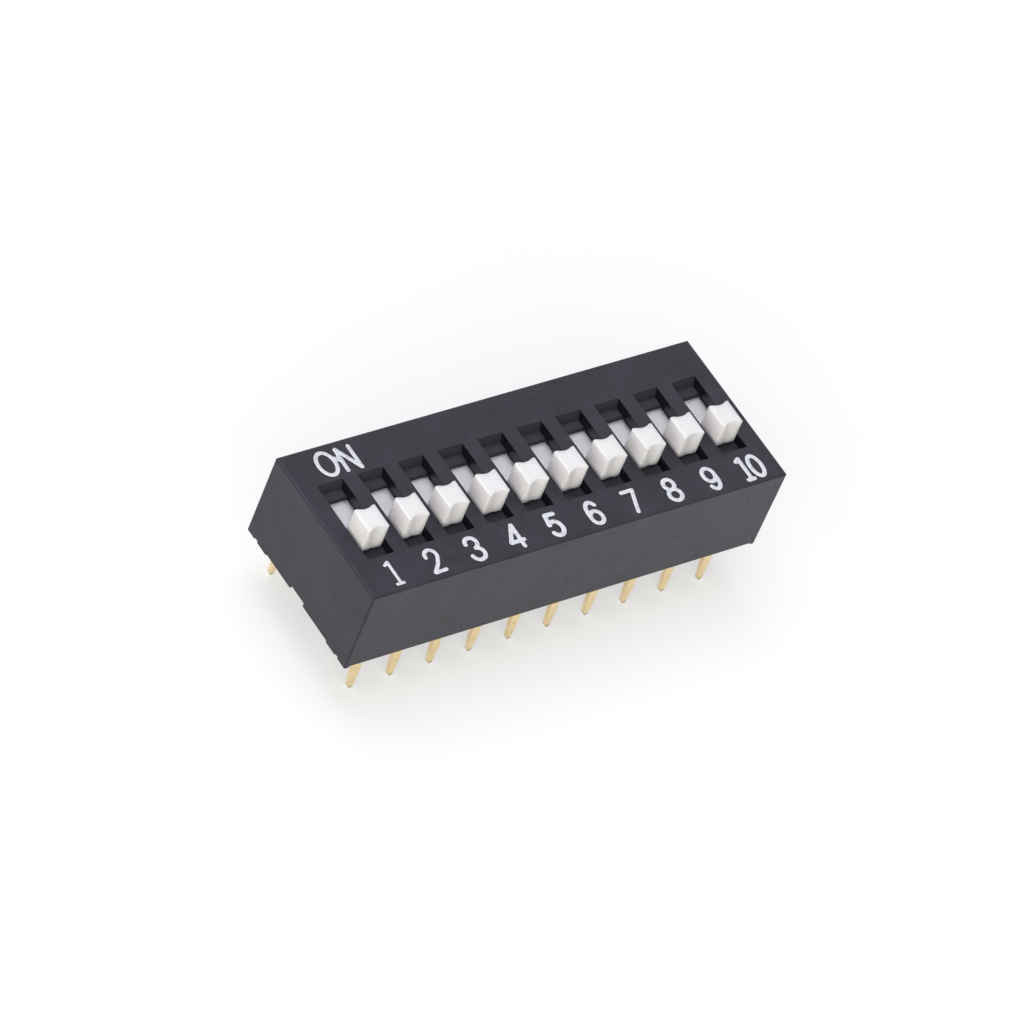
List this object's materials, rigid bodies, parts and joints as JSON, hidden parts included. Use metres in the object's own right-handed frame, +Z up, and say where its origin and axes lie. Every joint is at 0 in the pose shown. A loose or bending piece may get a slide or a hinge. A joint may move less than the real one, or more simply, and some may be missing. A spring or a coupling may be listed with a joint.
{
  "type": "dip switch",
  "caption": "Through-hole slide DIP switch: a black box with a row of raised white sliders in pockets and two rows of pins below.",
  "frame": {"origin": "middle of the pin field on the board's surface, where the feet of the case stand", "axes": "+X along the poles from pole 1 to the last, +Y from the OFF side to the ON side, +Z up from the board"},
  "size_m": [0.0266, 0.0098, 0.0102],
  "materials": {
    "case_black": "fine moulded black",
    "base_black": "fine moulded black",
    "slider_white": "satin, slightly translucent",
    "contact_bronze": "bright spring strip",
    "terminal_gold": "gold flash over copper alloy"
  },
  "bodies": {
    "housing": {"case": "case_black", "base": "base_black", "terminal_front_1": "terminal_gold", "terminal_front_2": "terminal_gold", "terminal_front_3": "terminal_gold", "terminal_front_4": "terminal_gold", "terminal_front_5": "terminal_gold", "terminal_front_6": "terminal_gold", "terminal_front_7": "terminal_gold", "terminal_front_8": "terminal_gold", "terminal_front_9": "terminal_gold", "terminal_front_10": "terminal_gold", "terminal_back_1": "terminal_gold", "terminal_back_2": "terminal_gold", "terminal_back_3": "terminal_gold", "terminal_back_4": "terminal_gold", "terminal_back_5": "terminal_gold", "terminal_back_6": "terminal_gold", "terminal_back_7": "terminal_gold", "terminal_back_8": "terminal_gold", "terminal_back_9": "terminal_gold", "terminal_back_10": "terminal_gold"},
    "switch_1": {"slider_1": "slider_white", "contact_1": "contact_bronze"},
    "switch_2": {"slider_2": "slider_white", "contact_2": "contact_bronze"},
    "switch_3": {"slider_3": "slider_white", "contact_3": "contact_bronze"},
    "switch_4": {"slider_4": "slider_white", "contact_4": "contact_bronze"},
    "switch_5": {"slider_5": "slider_white", "contact_5": "contact_bronze"},
    "switch_6": {"slider_6": "slider_white", "contact_6": "contact_bronze"},
    "switch_7": {"slider_7": "slider_white", "contact_7": "contact_bronze"},
    "switch_8": {"slider_8": "slider_white", "contact_8": "contact_bronze"},
    "switch_9": {"slider_9": "slider_white", "contact_9": "contact_bronze"},
    "switch_10": {"slider_10": "slider_white", "contact_10": "contact_bronze"}
  },
  "joints": [
    {"name": "slide_1", "type": "slide", "parent": "housing", "child": "switch_1", "axis": [0, 1, 0], "range_m": [0, 0.002]},
    {"name": "slide_2", "type": "slide", "parent": "housing", "child": "switch_2", "axis": [0, 1, 0], "range_m": [0, 0.002]},
    {"name": "slide_3", "type": "slide", "parent": "housing", "child": "switch_3", "axis": [0, 1, 0], "range_m": [0, 0.002]},
    {"name": "slide_4", "type": "slide", "parent": "housing", "child": "switch_4", "axis": [0, 1, 0], "range_m": [0, 0.002]},
    {"name": "slide_5", "type": "slide", "parent": "housing", "child": "switch_5", "axis": [0, 1, 0], "range_m": [0, 0.002]},
    {"name": "slide_6", "type": "slide", "parent": "housing", "child": "switch_6", "axis": [0, 1, 0], "range_m": [0, 0.002]},
    {"name": "slide_7", "type": "slide", "parent": "housing", "child": "switch_7", "axis": [0, 1, 0], "range_m": [0, 0.002]},
    {"name": "slide_8", "type": "slide", "parent": "housing", "child": "switch_8", "axis": [0, 1, 0], "range_m": [0, 0.002]},
    {"name": "slide_9", "type": "slide", "parent": "housing", "child": "switch_9", "axis": [0, 1, 0], "range_m": [0, 0.002]},
    {"name": "slide_10", "type": "slide", "parent": "housing", "child": "switch_10", "axis": [0, 1, 0], "range_m": [0, 0.002]}
  ]
}
